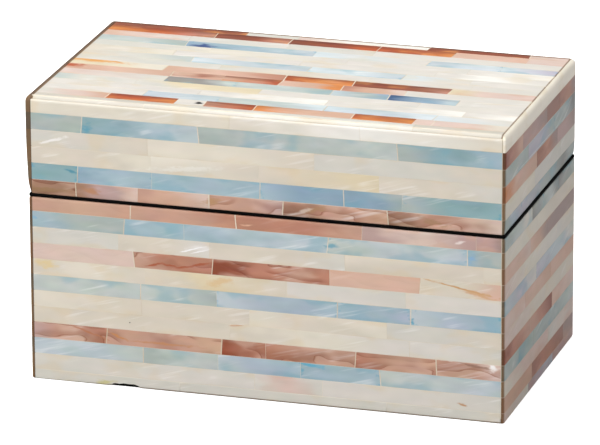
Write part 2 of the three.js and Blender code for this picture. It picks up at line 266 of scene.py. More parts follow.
# Marks in single strips, by face of the lid (True) or the base: row, middle along and across the face, half
# length, half height, rise per millimetre, colour and strength. The middle is in millimetres from the face's
# left end, and from the floor or, on the top, from the front edge.
MARKS = {
    ("front", False): [
        # A pit filled black, a smudge, ochre stains, a vein, a white feather, and in the last strip of the
        # ninth row a grey-brown patch and two painted highlights, in the front of the base
        (8, 53.5, 35.5, 0.5, 0.4, 0.0, "#2A1D14", 1.0),
        (8, 111.5, 39.5, 5.0, 0.8, 0.15, "#C99A78", 0.8),
        (5, 9.0, 63.0, 7.0, 3.2, -0.2, "#DCC48E", 0.8),
        (5, 101.0, 61.5, 9.0, 2.2, 0.25, "#D9B98A", 0.8),
        (4, 229.0, 70.2, 20.0, 0.6, -0.175, "#C79556", 0.9),
        (4, 238.0, 68.0, 9.5, 1.5, -0.175, "#CE9F70", 0.8),
        (3, 91.0, 78.8, 6.5, 1.7, 0.15, "#E6E0DA", 0.8),
        (3, 87.5, 77.9, 8.0, 0.5, 0.32, "#F6F3F1", 1.0),
        (3, 91.5, 77.2, 5.0, 0.4, 0.3, "#F3EFED", 0.9),
        (9, 221.0, 31.6, 4.5, 0.8, 0.0, "#DDD2C8", 0.8),
        (9, 236.0, 29.8, 8.0, 1.0, -0.15, "#86604C", 0.7),
        (9, 245.6, 29.4, 2.6, 2.4, 0.0, "#F8F2EE", 1.0),
        (11, 230.0, 8.5, 2.5, 0.9, -0.2, "#BC8A5A", 0.9),
        (12, 40.0, 1.8, 6.0, 1.8, 0.0, "#C9BE7E", 0.8),
        # A wavy line, seams of ochre, a pale feather and a painted glint of light in brown strips of the base
        (4, 67.5, 68.0, 4.4, 0.75, 0.28, "#A5512F", 0.9),
        (4, 75.5, 68.1, 6.0, 0.7, -0.14, "#A5512F", 0.9),
        (4, 83.5, 68.0, 4.8, 0.7, 0.16, "#A5512F", 0.9),
        (4, 92.0, 70.2, 6.5, 0.75, 0.28, "#A5512F", 0.9),
        (4, 108.0, 69.2, 9.0, 0.7, -0.22, "#8E4630", 0.8),
        (9, 29.8, 28.6, 10.5, 0.8, -0.32, "#B4744F", 0.9),
        (9, 35.0, 31.2, 5.5, 1.5, -0.05, "#93624A", 0.6),
        (9, 46.9, 27.4, 6.2, 0.8, -0.36, "#C48450", 0.9),
        (9, 72.0, 25.6, 20.0, 0.8, 0.0, "#C08658", 0.8),
        (1, 116.5, 93.6, 4.0, 0.55, 0.1, "#DDB093", 0.9),
        (1, 228.0, 94.6, 2.6, 0.9, 0.3, "#EEE2DC", 0.7),
        # Turquoise at the ends of blue strips
        (2, 161.0, 86.5, 4.0, 1.6, 0.2, "#5F9DB0", 0.8),
        (2, 234.6, 86.3, 2.4, 2.6, 0.0, "#86ABCB", 0.9),
        (2, 2.5, 87.5, 3.0, 1.0, -0.2, "#86AFC6", 0.8),
        (6, 203.5, 50.0, 1.2, 1.8, 0.0, "#5FA0B8", 0.9),
        (10, 149.0, 22.2, 7.5, 1.4, -0.15, "#5CA8C2", 0.9),
        (10, 145.5, 18.5, 1.0, 1.4, 0.0, "#6BA6BA", 0.8),
    ],
    ("front", True): [
        # Feathers in the front of the lid
        (3, 13.0, 129.5, 9.0, 1.0, 0.3, "#F0EBE6", 0.9),
        (4, 84.0, 120.5, 20.0, 1.6, 0.1, "#E8E2D6", 0.9),
        (5, 23.0, 114.0, 3.5, 1.2, -0.2, "#4A8C9E", 0.9),
        (2, 31.5, 137.5, 3.0, 3.2, 0.0, "#5F9AAC", 0.9),
        # Olive and amber smudges and a pale spot above the seam; their darkness is partly the shell's own
        # colour and partly painted shade there
        (6, 9.0, 103.0, 13.0, 1.4, 0.05, "#96734F", 0.8),
        (6, 34.0, 104.5, 5.0, 1.8, -0.1, "#B57B4A", 0.7),
        (6, 98.0, 104.5, 6.0, 2.0, 0.2, "#B48A5C", 0.7),
        (6, 152.0, 105.0, 7.0, 2.2, 0.3, "#A9825C", 0.7),
        (6, 147.0, 104.0, 4.5, 1.2, 0.3, "#E3D3C4", 0.5),
        (6, 214.0, 104.0, 8.0, 1.8, -0.2, "#A07C58", 0.7),
    ],
    ("right", True): [
        # Filler that shows along the third row on the right of the lid
        (3, 62.0, 134.6, 56.0, 0.35, 0.0, "#E4DED6", 0.7),
        (3, 60.0, 126.8, 54.0, 0.35, 0.0, "#E4DED6", 0.7),
    ],
    ("top", True): [
        # Pits and veins in the top
        (15, 88.0, 11.5, 2.4, 2.2, 0.0, "#100A07", 1.0),
        (4, 60.5, 107.0, 8.0, 3.4, 0.0, "#2C4A80", 1.0),
        (9, 15.0, 67.5, 21.0, 3.0, -0.05, "#DD9A4A", 0.95),
        (10, 4.5, 57.0, 9.0, 3.0, 0.0, "#B5542A", 1.0),
    ],
}


def colour(label, description, hex_colour):
    return FloatVectorProperty(
        name=label,
        description=description,
        default=linear(hex_colour),
        subtype="COLOR",
        min=0.0,
        max=1.0,
    )


def angle(label, description, degrees):
    return FloatProperty(
        name=label,
        description=description,
        default=math.radians(degrees),
        subtype="ANGLE",
    )


def size(label, description, millimetres):
    return FloatProperty(
        name=label,
        description=description,
        default=millimetres * MM,
        min=0.0,
        unit="LENGTH",
        precision=5,
    )


class SHELLBOX_PG_facing(bpy.types.PropertyGroup):
    row_joint: size("Row joint", "Width of the filler between two rows", 0.15)
    close_joint: size("Close joint", "Width of a joint between two strips that barely shows", 0.16)
    open_joint: size("Open joint", "Width of an open joint between two strips", 0.5)
    bevel: size("Edge", "Width of the polished edge of a strip", 0.06)
    sink: size("Filler depth", "How far the filler lies below the shell", 0.07)
    ripple: size("Ripple", "Largest difference in height between two strips", 0.02)
    slant: size("Slant", "How far an open joint may lean", 0.9)
    tilt: angle("Tilt", "Largest lean of a strip's face", 0.12)
    filler: colour("Filler", "Colour of the resin between the strips", "#DDD2BE")


class SHELLBOX_PG_shells(bpy.types.PropertyGroup):
    __annotations__ = {
        name: colour(name.capitalize(), f"Colour of the {name} shell under white light", seen)
        for name, (_, seen) in SHELLS.items()
    }


class SHELLBOX_PG_stage(bpy.types.PropertyGroup):
    camera_azimuth: angle("Azimuth", "Camera's turn to the right", 16.79)
    camera_elevation: angle("Elevation", "Camera's height above the horizon", 18.37)
    camera_roll: angle("Roll", "Camera's roll", -0.26)
    camera_distance: FloatProperty(name="Distance", description="From the camera to the middle of the box",
                                   default=3.3157, unit="LENGTH")
    lens: FloatProperty(name="Lens", description="Focal length in millimetres on a sensor 36 mm wide",
                        default=385.6)
    floor: colour("Floor", "Colour of the floor", "#F4F3F1")


# Kinds of node that come often, and settings that they often take
MATHS = "ShaderNodeMath"
VECTORS = "ShaderNodeVectorMath"
MIX = "ShaderNodeMix"
RANGE = "ShaderNodeMapRange"
NOISE = "ShaderNodeTexNoise"
SPLIT = "ShaderNodeSeparateXYZ"
JOIN = "ShaderNodeCombineXYZ"
COORDINATES = "ShaderNodeTexCoord"
PRINCIPLED = "ShaderNodeBsdfPrincipled"
SURFACE = "ShaderNodeOutputMaterial"
TIMES = {"operation": "MULTIPLY"}
TIMES_PLUS = {"operation": "MULTIPLY_ADD"}
MINUS = {"operation": "SUBTRACT"}
LEAST = {"operation": "MINIMUM"}
MOST = {"operation": "MAXIMUM"}
OVER = {"operation": "GREATER_THAN"}
UNDER = {"operation": "LESS_THAN"}
SMOOTH = {"interpolation_type": "SMOOTHSTEP"}


def add_node(tree, kind, *inputs, **settings):
    """Adds a node with its settings, and what goes into its inputs: in order, or by name in a dictionary.

    A node or a socket is linked, anything else is set. A linked node gives its first output in use.
    """
    node = tree.nodes.new(kind)
    for name, value in settings.items():
        setattr(node, name, value)
    if inputs and isinstance(inputs[0], dict):
        filled = [(node.inputs[name], value) for name, value in inputs[0].items()]
    else:
        filled = zip([socket for socket in node.inputs if socket.enabled], inputs)
    for socket, value in filled:
        if isinstance(value, bpy.types.Node):
            value = next(output for output in value.outputs if output.enabled)
        if isinstance(value, bpy.types.NodeSocket):
            tree.links.new(value, socket)
        else:
            socket.default_value = value
    return node


def new_material(name):
    """An empty material, and what adds a node to it."""
    material = bpy.data.materials.new(name)
    material.use_nodes = True
    material.node_tree.nodes.clear()
    return material, partial(add_node, material.node_tree)


def layered(add, base, *layers):
    """Lays colours over a base in turn: how each is blended, how much of it there is, and the colour."""
    for mode, amount, tint in layers:
        if isinstance(tint, tuple):
            tint = (*tint, 1.0)
        base = add(MIX, amount, base, tint, data_type="RGBA", blend_type=mode)
    return base


def marked(add, body, sheet):
    """Lays the marks of single strips over the shell's colour, with ragged outlines."""
    stretched = add(VECTORS, sheet, (0.22, 0.5, 1.0), **TIMES)
    ragged = add(NOISE, {"Vector": stretched, "Scale": 1.0, "Detail": 3.0, "Roughness": 0.6})
    ragged = add(VECTORS, ragged.outputs["Color"], (0.5, 0.5, 0.5), **MINUS)
    ragged = add(VECTORS, ragged, (2.2, 2.6, 0.0), **TIMES)
    for (kind, lid), marks in MARKS.items():
        for row, u, v, half_long, half_high, rise, tint, strength in marks:
            off = add(VECTORS, sheet, (u, v, sheet_number(kind, lid, row - 1)), **MINUS)
            x, y, z = add(SPLIT, off).outputs
            level = add(JOIN, x, add(MATHS, x, -rise, y, **TIMES_PLUS), z)
            shape = add(VECTORS, level, (1 / half_long, 1 / half_high, 1.0), ragged, **TIMES_PLUS)
            reach = add(VECTORS, shape, operation="LENGTH")
            amount = add(RANGE, reach, 0.3, 1.2, strength, 0.0, **SMOOTH)
            body = layered(add, body, ("MIX", amount, linear(tint)))
    return body


# Noise over each strip: repeats per millimetre along and across it, and from strip to strip, then detail and
# roughness. Clouds are 16 mm long and 6 mm wide, and stains 20 mm long.
FIGURES = {
    "cloud": ((1 / 16, 1 / 6, 1.0), 1.5, 0.45),
    "stain": ((1 / 20, 1 / 12, 3.1), 2.0, 0.5),
    "fleck": ((0.3, 0.35, 2.3), 2.0, 0.6),
    "places": ((1 / 18, 1 / 14, 1.7), 1.0, 0.5),
    "bend": ((1 / 24, 1 / 10, 1.3), 1.5, 0.4),
    "swell": ((0.16, 0.16, 1.0), 1.0, 0.5),
}
# What each strip tells its material
TINTS = ("tint_left", "tint_middle", "tint_right", "stain")


def nacre_material():
    """Mother-of-pearl cut in strips, ground flat and lacquered.

    Deep, hard gloss over a softly clouded body. Pale strips have silvery streaks that rise at a slant, brown
    ones have wavy growth rings, and each strip has its own hues that turn into each other along its length.
    """
    material, add = new_material("lacquered mother-of-pearl")
    stored = {name: add("ShaderNodeAttribute", attribute_name=name).outputs
              for name in ("along", "figure", "place", "sheet", *TINTS)}
    along, sheet = stored["along"]["Vector"], stored["sheet"]["Vector"]
    streaky, ringed, cloudy = add(SPLIT, stored["figure"]["Vector"]).outputs
    share, across, rim = add(SPLIT, stored["place"]["Vector"]).outputs
    x, y, seed = add(SPLIT, along).outputs
    bulge = add(MATHS, across, across, **TIMES)
    noises = {}
    for name, (repeats, detail, roughness) in FIGURES.items():
        where = add(VECTORS, along, repeats, **TIMES)
        noises[name] = add(NOISE, {"Vector": where, "Scale": 1.0, "Detail": detail, "Roughness": roughness})
    wobble = add(MATHS, noises["cloud"], 0.5, **MINUS)

    # The shell's three hues, from the left end to the right, meet in slanting, cloudy fronts
    front = add(MATHS, wobble, 0.5, share, **TIMES_PLUS)
    front = add(MATHS, across, 0.05, front, **TIMES_PLUS)
    body = layered(add, stored["tint_left"]["Color"],
                   ("MIX", add(RANGE, front, 0.02, 0.5, **SMOOTH), stored["tint_middle"]["Color"]),
                   ("MIX", add(RANGE, front, 0.5, 0.98, **SMOOTH), stored["tint_right"]["Color"]))

    # Clouds lighten and darken it, and shift its hue a little
    shade = add(MATHS, add(MATHS, wobble, cloudy, **TIMES), 0.55, 1.0, **TIMES_PLUS)
    body = add(VECTORS, body, shade, operation="SCALE")
    hue = add(MATHS, cloudy, 0.22, **TIMES)
    body = layered(add, body, ("SOFT_LIGHT", hue, noises["cloud"].outputs["Color"]))

    # Stains in the shell's second colour, which keep to the strip's long edges
    stain = add(MATHS, bulge, 0.1, noises["stain"], **TIMES_PLUS)
    amount = add(MATHS, add(RANGE, stain, 0.56, 0.74, **SMOOTH), stored["stain"]["Alpha"], **TIMES)
    body = layered(add, body, ("MIX", amount, stored["stain"]["Color"]))

    # Turquoise flecks within 6 mm of the ends of some blue strips
    nearest = add(MATHS, share, add(MATHS, 1.0, share, **MINUS), **LEAST)
    from_end = add(MATHS, nearest, stored["tint_left"]["Alpha"], **TIMES)
    fleck = add(MATHS, noises["fleck"], add(RANGE, from_end, 0.0, 6.0, 0.12, -0.2, **SMOOTH))
    fleck = add(MATHS, bulge, 0.06, fleck, **TIMES_PLUS)
    chance = add(MATHS, add(MATHS, seed, 1.7, **TIMES), operation="FRACT")
    amount = add(MATHS, add(RANGE, fleck, 0.62, 0.8, **SMOOTH), stored["tint_middle"]["Alpha"], **TIMES)
    amount = add(MATHS, amount, add(MATHS, chance, 0.6, **OVER), **TIMES)
    body = layered(add, body, ("MIX", amount, linear("#4F9DB8")))

    # Silvery streaks 2 mm apart, in a few places, rising to the right
    slant = add(MATHS, x, -0.28, y, **TIMES_PLUS)
    lean = add(JOIN, add(MATHS, x, 0.03, **TIMES), add(MATHS, slant, 0.5, **TIMES), seed)
    streak = add(NOISE, {"Vector": lean, "Scale": 1.0, "Detail": 2.0, "Roughness": 0.55})
    shown = add(MATHS, streaky, add(RANGE, noises["places"], 0.48, 0.64, 0.0, 0.55, **SMOOTH), **TIMES)
    amount = add(MATHS, add(RANGE, streak, 0.5, 0.72, **SMOOTH), shown, **TIMES)
    body = layered(add, body, ("MIX", amount, (0.95, 0.92, 0.9)))

    # Growth rings of brown shell: from a sharp wavy line each fades to one side, as in agate
    layer = add(MATHS, y, 0.13, add(MATHS, noises["bend"], 2.8, **TIMES), **TIMES_PLUS)
    ring = add(MATHS, add(MATHS, x, 0.012, layer, **TIMES_PLUS), operation="FRACT")
    fading = add(RANGE, ring, 0.0, 0.65, 0.55, 0.0, **SMOOTH)
    grain = add(MATHS, fading, add(RANGE, ring, 0.93, 1.0, **SMOOTH), **MOST)
    shown = add(MATHS, ringed, add(RANGE, noises["places"], 0.36, 0.5, **SMOOTH), **TIMES)
    body = layered(add, body, ("MULTIPLY", add(MATHS, grain, shown, **TIMES), (0.55, 0.34, 0.25)))

    # Rust-coloured shell is darkest along its upper edge
    high = add(RANGE, add(MATHS, wobble, 1.5, across, **TIMES_PLUS), -0.2, 0.9, **SMOOTH)
    high = add(MATHS, high, stored["tint_right"]["Alpha"], **TIMES)
    body = layered(add, body, ("MULTIPLY", high, (0.5, 0.36, 0.32)))

    body = marked(add, body, sheet)

    # The sawn edge of the shell is darker and browner than its face; the same darkening paints shade on the
    # left edges turned from the light and along the foot of the base's front. A band along the back of the
    # top is darkened too.
    _, from_front, number = add(SPLIT, sheet).outputs
    behind = add(RANGE, from_front, DEPTH / MM - 5.0, DEPTH / MM - 4.2, 0.0, 0.9, **SMOOTH)
    on_top = add(MATHS, number, sheet_number("front", True, 0) / 2, **UNDER)
    rim = add(MATHS, rim, add(MATHS, behind, on_top, **TIMES), **MOST)
    body = layered(add, body, ("MULTIPLY", rim, (0.154, 0.1045, 0.0605)),
                   ("ADD", rim, tuple(0.45 * part for part in linear("#6E5137"))))

    # Polished lacquer over the shell, with a slight unevenness 6 mm across
    bump = add("ShaderNodeBump", {"Height": noises["swell"], "Strength": 0.02, "Distance": 0.0006})
    shader = add(PRINCIPLED, {
        "Base Color": body,
        "Roughness": add(MATHS, rim, 0.6, 0.31, **TIMES_PLUS),
        "IOR": 1.5,
        "Coat Weight": 0.06,
        "Coat Roughness": 0.12,
        "Coat IOR": 1.5,
        "Normal": bump,
    })
    add(SURFACE, shader)
    return material


def filler_material(resin):
    """Polyester filler with shell dust in it: pale, a little mottled, satin."""
    material, add = new_material("shell dust filler")
    where = add(COORDINATES).outputs["Object"]
    # Specks of shell dust, 0.7 mm across
    specks = add(NOISE, {"Vector": where, "Scale": 1400.0, "Detail": 2.0})
    stain = add(NOISE, {"Vector": where, "Scale": 60.0, "Detail": 3.0})
    # Along the left side's edges, on top and in front, the filler is as dark brown as the shell there: its
    # sawn edge and painted shade
    far, near, high = add(SPLIT, where).outputs
    on_top = add(MATHS, high, TOP_Z - 1.2 * MM, **OVER)
    edges = add(MATHS, on_top, add(MATHS, near, FRONT_Y + 1.2 * MM, **UNDER), **MOST)
    edge_brown_and_shade = add(MATHS, add(MATHS, far, LEFT_X + 2.2 * MM, **UNDER), edges, **TIMES)
    tone = layered(add, (*resin, 1.0),
                   ("MULTIPLY", add(RANGE, stain, 0.42, 0.66, 0.0, 0.6, **SMOOTH), (0.72, 0.62, 0.5)),
                   ("MULTIPLY", add(RANGE, specks, 0.5, 0.7, 0.0, 0.35, **SMOOTH), (0.75, 0.7, 0.62)),
                   ("MIX", edge_brown_and_shade, linear("#5A432F")))
    add(SURFACE, add(PRINCIPLED, {"Base Color": tone, "Roughness": 0.5, "IOR": 1.5}))
    return material


def paint_material():
    """Black paint brushed on wood: almost black, satin, with faint brush marks and a grain that swells."""
    material, add = new_material("black paint on wood")
    where = add(COORDINATES).outputs["Object"]
    drawn = add("ShaderNodeMapping", {"Vector": where, "Scale": (25.0, 900.0, 900.0)})
    marks = add(NOISE, {"Vector": drawn, "Scale": 1.0, "Detail": 4.0})
    dust = add(NOISE, {"Vector": where, "Scale": 220.0, "Detail": 5.0})
    mottle = add(RANGE, dust, 0.4, 0.75, **SMOOTH)
    shader = add(PRINCIPLED, {
        "Base Color": layered(add, (*linear("#020202"), 1.0), ("MIX", mottle, linear("#070605"))),
        "Roughness": add(RANGE, marks, 0.3, 0.7, 0.5, 0.68, **SMOOTH),
        "IOR": 1.45,
        "Specular IOR Level": 0.05,
        "Normal": add("ShaderNodeBump", {"Height": marks, "Strength": 0.1, "Distance": 0.0002}),
    })
    add(SURFACE, shader)
    return material


def rounding(distance, radius):
    """How far an edge eased by an arc lies in, at a distance from its outer end."""
    near = np.clip(radius - distance, 0, radius)
    return radius - np.sqrt(np.maximum(radius * radius - near * near, 0))


def lid_end(height, bow, most_ease):
    """How far an end of the lid lies in at a height above its foot: drawn in below, bowed out above."""
    lift = np.sin(np.minimum(height / (BOW_PEAK * (TOP_Z - SEAM_Z)), 1) * math.pi / 2)
    ease = np.maximum(1 - height / END_EASE_HEIGHT, 0)
    return most_ease * ease * ease - bow * lift


def level_inset(z, lid):
    """How far the eased foot and head edges lie in at a height."""
    if lid:
        return rounding(z - SEAM_Z, FOOT_RADIUS) + rounding(TOP_Z - z, LID_TOP_RADIUS)
    return rounding(z, FOOT_RADIUS) + rounding(BASE_TOP_Z - z, FOOT_RADIUS)


class Face:
    """One side of the lid or the base: where its rows lie, and how its outer surface is shaped."""

    def __init__(self, kind, lid):
        self.kind = kind
        self.lid = lid
        self.span = LENGTH if kind in ("front", "back", "top") else DEPTH
        self.ends_round = kind in ("left", "right")

    def end_shape(self):
        return (LEFT_BOW, LEFT_EASE) if self.kind == "left" else (RIGHT_BOW, RIGHT_EASE)

    def place(self, u, v, depth):
        """Points from the distance along a face, across it (z, or y on the top) and under its outer surface.

        Depth 0 is the outer surface and 1 the surface of the board.
        """
        u = np.asarray(u, dtype=float)
        v = np.asarray(v, dtype=float)
        if self.kind == "top":
            left = u + LEFT_BOW
            right = LENGTH - u + RIGHT_BOW
            drop = rounding(np.minimum(v - FRONT_Y, BACK_Y - v), LID_TOP_RADIUS)
            drop = np.maximum(drop, rounding(np.minimum(left, right), LID_TOP_RADIUS))
            low = np.minimum(drop, SHELL * TOP_CUT)
            z = TOP_Z - low - depth * np.maximum(SHELL - low, THINNEST)
            return np.stack([LEFT_X + u, v, z], axis=-1)
        inset = level_inset(v, self.lid)
        along = u
        if self.ends_round:
            from_end = np.minimum(u, DEPTH - u)
            fade = np.clip(1 - from_end / CORNER_FADE, 0, 1)
            shift = np.minimum(inset, LID_TOP_RADIUS) * fade
            along = np.where(u < DEPTH / 2, u + shift, u - shift)
            inset = inset + rounding(from_end, UPRIGHT_RADIUS)
            if self.lid:
                inset = inset + lid_end(v - SEAM_Z, *self.end_shape())
        outer = np.minimum(inset, SHELL * SIDE_CUT)
        inward = outer + depth * (SHELL - outer)
        if self.kind == "front":
            return np.stack([LEFT_X + along, FRONT_Y + inward, v], axis=-1)
        if self.kind == "back":
            return np.stack([RIGHT_X - along, BACK_Y - inward, v], axis=-1)
        if self.kind == "right":
            return np.stack([RIGHT_X - inward, FRONT_Y + along, v], axis=-1)
        return np.stack([LEFT_X + inward, BACK_Y - along, v], axis=-1)


def parse_row(text):
    """The strips and joints of one line of a cutting list."""
    words = text.split()
    strips = [word.split(">") for word in words[0::2]]
    joints = [(float(word.rstrip("w")) * MM, word.endswith("w")) for word in words[1::2]]
    return strips, joints


def plain_row(kind, row, span):
    """A row on a side out of view."""
    shells = PLAIN_SHELLS[kind]
    joints = []
    at = PLAIN_STRIP - (row % 2) * PLAIN_SHIFT
    while at < span - SHELL:
        joints.append((at, (row + len(joints)) % 2 == 0))
        at += PLAIN_STRIP
    return [shells[(row + i) % len(shells)].split(">") for i in range(len(joints) + 1)], joints


def row_nodes(prefix, count):
    """The frame's solids that the rows of a face take the place of."""
    return [f"{prefix}_row_{row + 1:02d}" for row in range(count)]


def visible_levels(prefix, count):
    """The rows' edges on a face, read from the frame's solids, low and high."""
    across = 1 if prefix == "lid_top" else 2
    boxes = [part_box(node) for node in row_nodes(prefix, count)]
    return [(low[across], high[across]) for low, high in boxes]


def face_limits(face):
    """How far the rows of a face reach along it."""
    inset = 0.0 if face.ends_round else SHELL + 0.3 * MM
    return inset, face.span - inset


def strip_table(face, rows, levels, shells, facing, seed):
    """Every strip of a face: its middle, size, end slants, colours and figure."""
    rng = np.random.default_rng(seed)
    start, end = face_limits(face)
    table = []
    for number, (strips, joints) in enumerate(rows):
        low, high = levels[number]
        grow = SOLID_JOINT - facing.row_joint / 2
        joints = [joint for joint in joints if joint[0] < end - SHELL]
        cuts = [(start, 0.0, 0.0)]
        for at, wide in joints:
            width = facing.open_joint if wide else facing.close_joint
            gap = width * rng.uniform(0.8, 1.2)
            cuts.append((at, gap, rng.uniform(-1, 1) * facing.slant * (0.5 if wide else 0.1)))
        cuts.append((end, 0.0, 0.0))
        for i in range(len(cuts) - 1):
            left_at, left_gap, left_slant = cuts[i]
            right_at, right_gap, right_slant = cuts[i + 1]
            a = left_at + left_gap / 2
            b = right_at - right_gap / 2
            names = strips[min(i, len(strips) - 1)]
            tints = [Vector(getattr(shells, shell)) for shell in names]
            middle_tint = tints[1] if len(tints) == 3 else (tints[0] + tints[-1]) / 2
            *figure, stain, strength, flecks, shaded = KINDS[SHELLS[names[len(names) // 2]][0]]
            at_end = i == 0 or i == len(cuts) - 2
            at_edge = number in (0, len(rows) - 1) or at_end and (face.ends_round or face.kind == "top")
            table.append({
                "row": number,
                "middle": ((a + b) / 2, (low + high) / 2),
                "half": ((b - a) / 2, (high - low) / 2 + grow),
                "slant": (left_slant, right_slant),
                "tint_left": (*tints[0], (b - a) / MM),
                "tint_middle": (*middle_tint, flecks),
                "tint_right": (*tints[-1], shaded),
                "stain": (*linear(stain), strength),
                "figure": tuple(figure),
                "fine": at_edge,
                "seed": rng.uniform(0, 400),
            })
    return table


def store_attribute(mesh, name, kind, values):
    """Stores a value of a mesh's every point under a name."""
    key = {"FLOAT_VECTOR": "vector", "FLOAT_COLOR": "color"}.get(kind, "value")
    values = np.array(values, dtype=np.int32 if kind == "INT" else np.float32)
    mesh.attributes.new(name, kind, "POINT").data.foreach_set(key, values.ravel())


def strip_blank(name, steps_along, steps_across):
    """A strip's blank: a top sheet and its sides down to the board.

    Each vertex says which corner it belongs to, how far in from it and how deep it lies. The size comes
    later, so that a polished edge is as wide on a short strip as on a long one.
    """
    along = [(-1, step) for step in steps_along] + [(1, step) for step in reversed(steps_along)]
    across = [(-1, step) for step in steps_across] + [(1, step) for step in reversed(steps_across)]
    columns, rows = len(along), len(across)
    corner, inward, depth, faces = [], [], [], []
    for sign_v, step_v in across:
        for sign_u, step_u in along:
            corner.append((sign_u, sign_v, 0))
            inward.append((step_u, step_v, 0))
            depth.append(ON_EDGE if step_u == 0 or step_v == 0 else ON_FACE)
    for j in range(rows - 1):
        for i in range(columns - 1):
            a = j * columns + i
            faces.append((a, a + 1, a + 1 + columns, a + columns))
    border = list(range(columns))
    border += [j * columns + columns - 1 for j in range(1, rows)]
    border += [(rows - 1) * columns + i for i in range(columns - 2, -1, -1)]
    border += [j * columns for j in range(rows - 2, 0, -1)]
    first = len(corner)
    for at in border:
        corner.append(corner[at])
        inward.append(inward[at])
        depth.append(ON_BOARD)
    count = len(border)
    for i in range(count):
        following = (i + 1) % count
        faces.append((border[following], border[i], first + i, first + following))
    faces.append(tuple(first + i for i in reversed(range(count))))
    mesh = bpy.data.meshes.new(name)
    mesh.from_pydata([(c[0], c[1], -d) for c, d in zip(corner, depth)], [], faces)
    store_attribute(mesh, "corner", "FLOAT_VECTOR", corner)
    store_attribute(mesh, "inward", "FLOAT_VECTOR", inward)
    store_attribute(mesh, "depth", "FLOAT", depth)
    return bpy.data.objects.new(name, mesh)


# Steps in from the edges of strips at a face's border, in millimetres. They follow the arcs of eased edges.
FINE_ALONG = (0.0, 0.1, 0.38, 0.8, 1.3, 3.0, 8.0)
FINE_ACROSS = (0.0, 0.1, 0.35, 0.75, 1.3, 2.2, 3.2)


def strip_blanks(facing):
    """The two blanks, in a collection that the node tree picks from in order of name."""
    collection = bpy.data.collections.new("strip blanks")
    edge = (0.0, facing.bevel)
    along, across = ([step * MM for step in steps] for steps in (FINE_ALONG, FINE_ACROSS))
    collection.objects.link(strip_blank("blank_a_plain", edge, edge))
    collection.objects.link(strip_blank("blank_b_fine", along, across))
    return collection


def strip_tree():
    """Lays a blank on each point of a cutting list and stretches it to that strip's size."""
    tree = bpy.data.node_groups.new("shell strips", "GeometryNodeTree")
    tree.is_modifier = True
    for name, kind in (("Cutting list", "Geometry"), ("Blanks", "Collection"), ("Ripple", "Float"),
                       ("Tilt", "Float"), ("Bevel", "Float"), ("Seed", "Int"), ("Material", "Material")):
        tree.interface.new_socket(name, in_out="INPUT", socket_type=f"NodeSocket{kind}")
    tree.interface.new_socket("Strips", in_out="OUTPUT", socket_type="NodeSocketGeometry")
    add = partial(add_node, tree)
    given = add("NodeGroupInput").outputs

    # Chance values for each strip, drawn on the points before the blanks are laid
    index = add("GeometryNodeInputIndex")
    lowest = add(MATHS, given["Ripple"], -1.0, **TIMES)
    lift = add("FunctionNodeRandomValue", lowest, 0.0, index, given["Seed"], data_type="FLOAT")
    lean = add("FunctionNodeRandomValue", (-1.0, -1.0, 0.0), (1.0, 1.0, 0.0), index, given["Seed"],
               data_type="FLOAT_VECTOR")
    leaning = add(VECTORS, lean, given["Tilt"], operation="SCALE")
    points = given["Cutting list"]
    for name, kind, value in (("lift", "FLOAT", lift), ("lean", "FLOAT_VECTOR", leaning)):
        points = add("GeometryNodeStoreNamedAttribute", {"Geometry": points, "Name": name, "Value": value},
                     data_type=kind, domain="POINT")

    stored = {}
    for name in ("corner", "half", "inward", "slant", "lean", "middle"):
        stored[name] = add("GeometryNodeInputNamedAttribute", name, data_type="FLOAT_VECTOR")
    for name, kind in (("depth", "FLOAT"), ("lift", "FLOAT"), ("fine", "INT")):
        stored[name] = add("GeometryNodeInputNamedAttribute", name, data_type=kind)
    blanks = add("GeometryNodeCollectionInfo",
                 {"Collection": given["Blanks"], "Separate Children": True, "Reset Children": True})
    laid = add("GeometryNodeInstanceOnPoints", {"Points": points, "Instance": blanks, "Pick Instance": True,
                                                "Instance Index": stored["fine"]})
    whole = add("GeometryNodeRealizeInstances", {"Geometry": laid})

    # A vertex lies at its corner of the strip, moved in by its own steps, whatever the strip's size
    most = add(VECTORS, stored["half"], 0.9, operation="SCALE")
    inward = add(VECTORS, stored["inward"], most, **LEAST)
    offset = add(VECTORS, stored["corner"], add(VECTORS, stored["half"], inward, **MINUS), **TIMES)
    flat = add(SPLIT, offset).outputs
    corner, half, slants, leans, middle = (
        add(SPLIT, stored[name]).outputs for name in ("corner", "half", "slant", "lean", "middle"))
    slant = add(MIX, add(MATHS, corner[0], 0.5, 0.5, **TIMES_PLUS), slants[0], slants[1], data_type="FLOAT")
    slid = add(MATHS, slant, add(MATHS, flat[1], half[1], operation="DIVIDE"), **TIMES)
    on_edge = add(MATHS, stored["depth"], 1.0, **LEAST)
    tip = add(MATHS, add(MATHS, leans[0], add(MATHS, corner[0], 0.01, **TIMES), **TIMES),
              add(MATHS, leans[1], flat[1], **TIMES))
    bevelled = add(MATHS, on_edge, add(MATHS, given["Bevel"], 0.6, **TIMES), **TIMES)
    height = add(MATHS, add(MATHS, stored["lift"], tip), bevelled, **MINUS)
    shifted = add(MATHS, middle[0], add(MATHS, flat[0], slid))
    place = add(JOIN, shifted, add(MATHS, middle[1], flat[1]), height)
    moved = add("GeometryNodeSetPosition", {"Geometry": whole, "Position": place})
    done = add("GeometryNodeSetMaterial", {"Geometry": moved, "Material": given["Material"]})
    add("NodeGroupOutput", done)
    return tree


def set_input(modifier, name, value):
    """Sets a modifier's input by its socket's identifier."""
    for item in modifier.node_group.interface.items_tree:
        if item.name == name and item.in_out == "INPUT":
            modifier[item.identifier] = value


